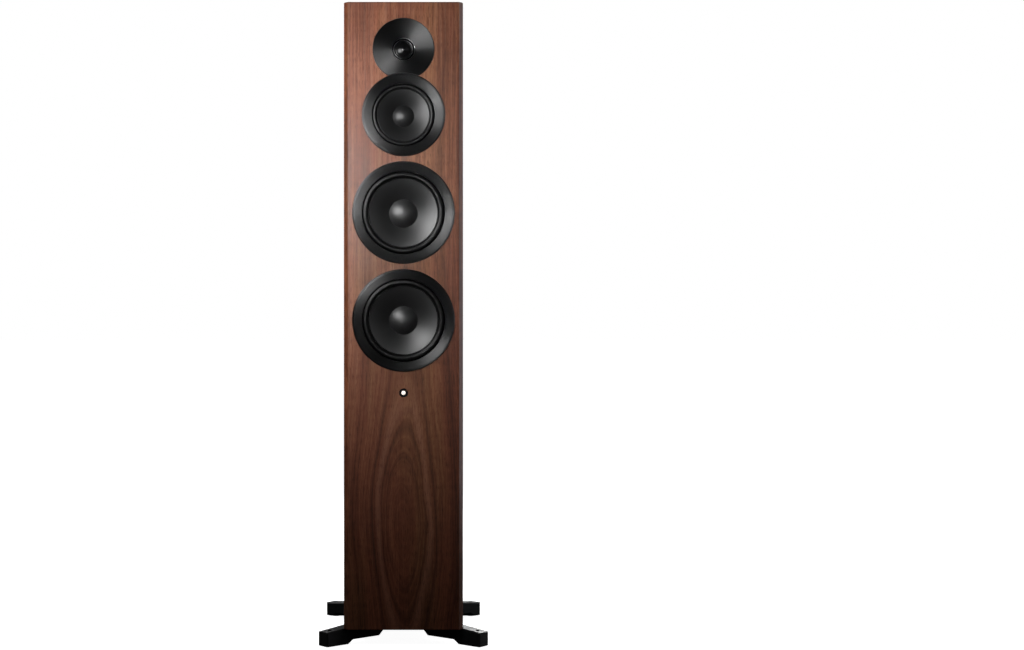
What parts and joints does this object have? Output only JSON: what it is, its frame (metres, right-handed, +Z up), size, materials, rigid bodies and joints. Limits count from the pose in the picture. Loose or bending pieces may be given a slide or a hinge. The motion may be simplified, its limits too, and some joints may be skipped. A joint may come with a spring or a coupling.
{
  "type": "floorstanding speaker",
  "caption": "Slim wood-veneered floorstanding loudspeaker with tweeter, midrange and two woofers above each other, a rear amplifier plate and diagonal outrigger feet.",
  "frame": {"origin": "on the floor under the middle of the speaker, level with the undersides of the rubber pads", "axes": "+Z up, the baffle with the drivers faces -Y, the amplifier plate faces +Y"},
  "size_m": [0.3064, 0.3524, 1.165],
  "materials": {
    "walnut_veneer": "satin",
    "board_core": "matt",
    "wool": "matt",
    "ring_black": "satin",
    "cast_basket": "satin",
    "roll_rubber": "matt",
    "diaphragm": "satin",
    "voice_coil": "gloss",
    "spider_cloth": "matt",
    "ferrite": "matt",
    "motor_steel": "satin",
    "screw_black": "satin",
    "gasket_foam": "matt",
    "tweeter_plate": "satin",
    "dome_silk": "satin",
    "black_plastic": "satin",
    "status_bezel": "gloss",
    "status_lens": "gloss",
    "anodised": "satin",
    "tray_steel": "matt",
    "circuit_board": "satin",
    "socket_plastic": "satin",
    "jack_metal": "polished",
    "network_shell": "satin",
    "foot_black": "satin",
    "stud_steel": "satin",
    "pad_rubber": "matt"
  },
  "bodies": {
    "cabinet": {"amplifier_boards": "circuit_board", "amplifier_plate": "anodised", "amplifier_screws": "screw_black", "amplifier_tray": "tray_steel", "audio_jacks": "jack_metal", "bottom_panel": "walnut_veneer", "cabinet_braces": "board_core", "damping_pads": "wool", "driver_gaskets": "gasket_foam", "driver_magnets": "ferrite", "driver_motor_plates": "motor_steel", "driver_screws": "screw_black", "driver_spiders": "spider_cloth", "front_baffle": "walnut_veneer", "left_side_panel": "walnut_veneer", "lower_woofer_basket": "cast_basket", "lower_woofer_surround": "roll_rubber", "lower_woofer_trim_ring": "ring_black", "mains_inlet": "socket_plastic", "midrange_basket": "cast_basket", "midrange_chamber": "board_core", "midrange_surround": "roll_rubber", "midrange_trim_ring": "ring_black", "network_jack": "network_shell", "outrigger_bolts": "screw_black", "outrigger_front_left": "foot_black", "outrigger_front_right": "foot_black", "outrigger_rear_left": "foot_black", "outrigger_rear_right": "foot_black", "power_switch_frame": "socket_plastic", "rear_panel": "walnut_veneer", "right_side_panel": "walnut_veneer", "status_light_bezel": "status_bezel", "status_light_lens": "status_lens", "top_panel": "walnut_veneer", "tweeter_faceplate": "tweeter_plate", "tweeter_inner_dome": "black_plastic", "tweeter_rear_chamber": "black_plastic", "upper_woofer_basket": "cast_basket", "upper_woofer_surround": "roll_rubber", "upper_woofer_trim_ring": "ring_black"},
    "midrange_diaphragm": {"midrange_cone": "diaphragm", "midrange_voice_coil": "voice_coil"},
    "upper_woofer_diaphragm": {"upper_woofer_cone": "diaphragm", "upper_woofer_voice_coil": "voice_coil"},
    "lower_woofer_diaphragm": {"lower_woofer_cone": "diaphragm", "lower_woofer_voice_coil": "voice_coil"},
    "tweeter_diaphragm": {"tweeter_dome": "dome_silk", "tweeter_voice_coil": "voice_coil"},
    "power_rocker": {"power_rocker": "socket_plastic"},
    "channel_switch": {"channel_switch": "socket_plastic"},
    "pairing_button": {"pairing_button": "socket_plastic"},
    "pad_front_left": {"levelling_pad_front_left": "pad_rubber"},
    "stud_front_left": {"levelling_stud_front_left": "stud_steel"},
    "pad_front_right": {"levelling_pad_front_right": "pad_rubber"},
    "stud_front_right": {"levelling_stud_front_right": "stud_steel"},
    "pad_rear_left": {"levelling_pad_rear_left": "pad_rubber"},
    "stud_rear_left": {"levelling_stud_rear_left": "stud_steel"},
    "pad_rear_right": {"levelling_pad_rear_right": "pad_rubber"},
    "stud_rear_right": {"levelling_stud_rear_right": "stud_steel"}
  },
  "joints": [
    {"name": "upper_woofer_stroke", "type": "slide", "parent": "cabinet", "child": "upper_woofer_diaphragm", "axis": [0, -1, 0], "range_m": [-0.008, 0.008], "stiffness_N_per_m": 1500, "deforming": ["upper_woofer_surround"]},
    {"name": "lower_woofer_stroke", "type": "slide", "parent": "cabinet", "child": "lower_woofer_diaphragm", "axis": [0, -1, 0], "range_m": [-0.008, 0.008], "stiffness_N_per_m": 1500, "deforming": ["lower_woofer_surround"]},
    {"name": "midrange_stroke", "type": "slide", "parent": "cabinet", "child": "midrange_diaphragm", "axis": [0, -1, 0], "range_m": [-0.004, 0.004], "stiffness_N_per_m": 2500, "deforming": ["midrange_surround"]},
    {"name": "tweeter_stroke", "type": "slide", "parent": "cabinet", "child": "tweeter_diaphragm", "axis": [0, -1, 0], "range_m": [-0.0005, 0.0005], "stiffness_N_per_m": 3000},
    {"name": "power_rocker_tilt", "type": "hinge", "parent": "cabinet", "child": "power_rocker", "pos_m": [0.002, 0.1625, 0.124], "axis": [1, 0, 0], "range_deg": [0, 20]},
    {"name": "channel_switch_slide", "type": "slide", "parent": "cabinet", "child": "channel_switch", "axis": [1, 0, 0], "range_m": [0, 0.005]},
    {"name": "pairing_button_press", "type": "slide", "parent": "cabinet", "child": "pairing_button", "axis": [0, -1, 0], "range_m": [0, 0.0015], "stiffness_N_per_m": 1200, "springref_m": -0.001},
    {"name": "levelling_travel_front_left", "type": "slide", "parent": "cabinet", "child": "pad_front_left", "axis": [0, 0, -1], "range_m": [0, 0.008]},
    {"name": "levelling_turn_front_left", "type": "hinge", "parent": "pad_front_left", "child": "stud_front_left", "pos_m": [-0.13411, -0.15736, 0], "axis": [0, 0, -1], "range_deg": [0, 2324]},
    {"name": "levelling_travel_front_right", "type": "slide", "parent": "cabinet", "child": "pad_front_right", "axis": [0, 0, -1], "range_m": [0, 0.008]},
    {"name": "levelling_turn_front_right", "type": "hinge", "parent": "pad_front_right", "child": "stud_front_right", "pos_m": [0.13411, -0.15736, 0], "axis": [0, 0, -1], "range_deg": [0, 2324]},
    {"name": "levelling_travel_rear_left", "type": "slide", "parent": "cabinet", "child": "pad_rear_left", "axis": [0, 0, -1], "range_m": [0, 0.008]},
    {"name": "levelling_turn_rear_left", "type": "hinge", "parent": "pad_rear_left", "child": "stud_rear_left", "pos_m": [-0.13411, 0.15736, 0], "axis": [0, 0, -1], "range_deg": [0, 2324]},
    {"name": "levelling_travel_rear_right", "type": "slide", "parent": "cabinet", "child": "pad_rear_right", "axis": [0, 0, -1], "range_m": [0, 0.008]},
    {"name": "levelling_turn_rear_right", "type": "hinge", "parent": "pad_rear_right", "child": "stud_rear_right", "pos_m": [0.13411, 0.15736, 0], "axis": [0, 0, -1], "range_deg": [0, 2324]}
  ],
  "couplings": [
    {"joint": "levelling_turn_front_left", "follows": "levelling_travel_front_left", "rad_per_m": 5026.5},
    {"joint": "levelling_turn_front_right", "follows": "levelling_travel_front_right", "rad_per_m": 5026.5},
    {"joint": "levelling_turn_rear_left", "follows": "levelling_travel_rear_left", "rad_per_m": 5026.5},
    {"joint": "levelling_turn_rear_right", "follows": "levelling_travel_rear_right", "rad_per_m": 5026.5}
  ]
}
